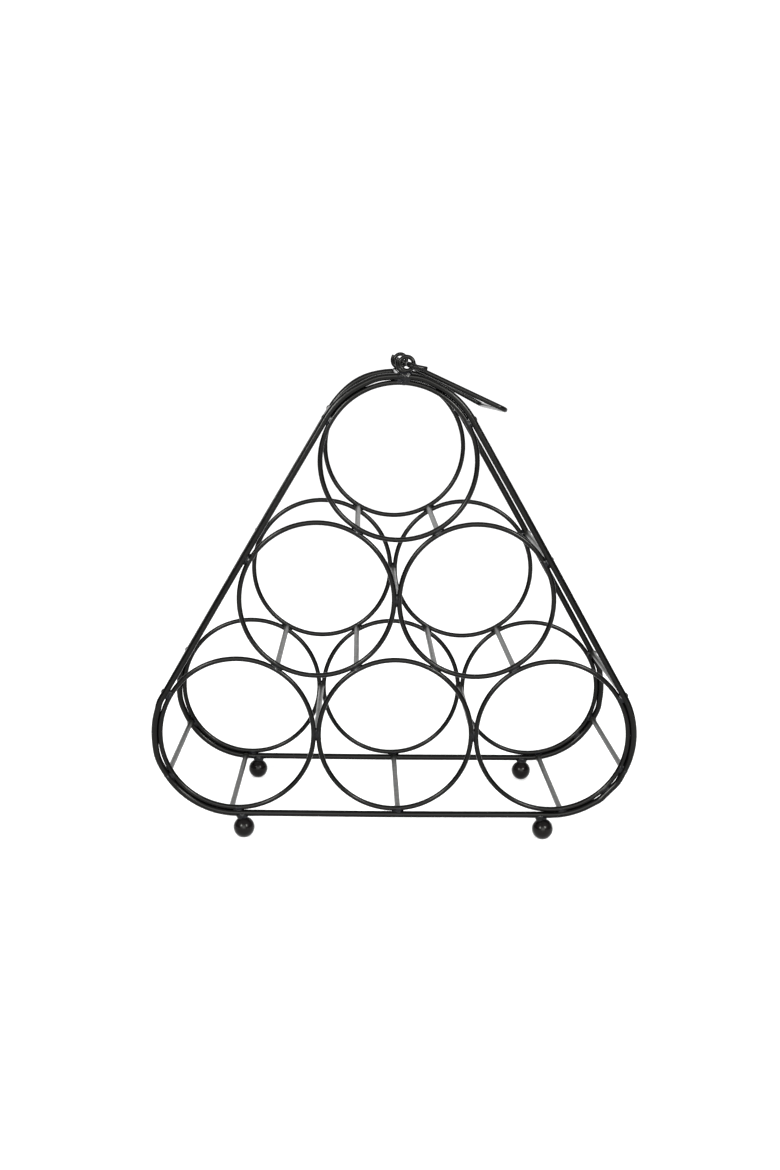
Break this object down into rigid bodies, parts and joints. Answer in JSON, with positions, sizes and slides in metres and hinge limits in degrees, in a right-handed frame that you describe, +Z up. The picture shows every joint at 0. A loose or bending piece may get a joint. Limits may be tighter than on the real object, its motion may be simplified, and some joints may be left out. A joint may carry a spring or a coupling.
{
  "type": "wine rack",
  "caption": "Free-standing pyramid wine rack of welded black wire: bottle rings in triangular hoops, crossbars between the front and rear frames, ball feet and a swinging bail handle.",
  "frame": {"origin": "on the floor, midway between the four ball feet", "axes": "+Z up, the front frame towards -Y, +X to the right as seen from the front, bottles lie along Y"},
  "size_m": [0.3088, 0.1434, 0.3067],
  "materials": {
    "black_paint": "satin black paint on round steel wire, a soft narrow highlight, slightly uneven over the welds"
  },
  "bodies": {
    "frame": {"front_ring_bottom_left": "black_paint", "front_ring_bottom_centre": "black_paint", "front_ring_bottom_right": "black_paint", "front_ring_middle_left": "black_paint", "front_ring_middle_right": "black_paint", "front_ring_top": "black_paint", "front_hoop": "black_paint", "front_eyelet": "black_paint", "front_foot_left": "black_paint", "front_foot_right": "black_paint", "rear_ring_bottom_left": "black_paint", "rear_ring_bottom_centre": "black_paint", "rear_ring_bottom_right": "black_paint", "rear_ring_middle_left": "black_paint", "rear_ring_middle_right": "black_paint", "rear_ring_top": "black_paint", "rear_hoop": "black_paint", "rear_eyelet": "black_paint", "rear_foot_left": "black_paint", "rear_foot_right": "black_paint", "crossbar_bottom_left_below": "black_paint", "crossbar_bottom_left_outside": "black_paint", "crossbar_bottom_left_above": "black_paint", "crossbar_bottom_centre_below": "black_paint", "crossbar_bottom_right_below": "black_paint", "crossbar_bottom_right_outside": "black_paint", "crossbar_bottom_right_above": "black_paint", "crossbar_middle_left_outside": "black_paint", "crossbar_middle_right_outside": "black_paint", "crossbar_top_left": "black_paint", "crossbar_top_above": "black_paint", "crossbar_top_right": "black_paint", "crossbar_bottom_left_to_bottom_centre": "black_paint", "crossbar_bottom_left_to_middle_left": "black_paint", "crossbar_bottom_centre_to_bottom_right": "black_paint", "crossbar_bottom_centre_to_middle_left": "black_paint", "crossbar_bottom_centre_to_middle_right": "black_paint", "crossbar_bottom_right_to_middle_right": "black_paint", "crossbar_middle_left_to_middle_right": "black_paint", "crossbar_middle_left_to_top": "black_paint", "crossbar_middle_right_to_top": "black_paint"},
    "handle": {"handle": "black_paint"}
  },
  "joints": [
    {"name": "handle_swing", "type": "hinge", "parent": "frame", "child": "handle", "pos_m": [0.004, 0, 0.30117], "axis": [0, -1, 0], "range_deg": [0, 222]}
  ]
}
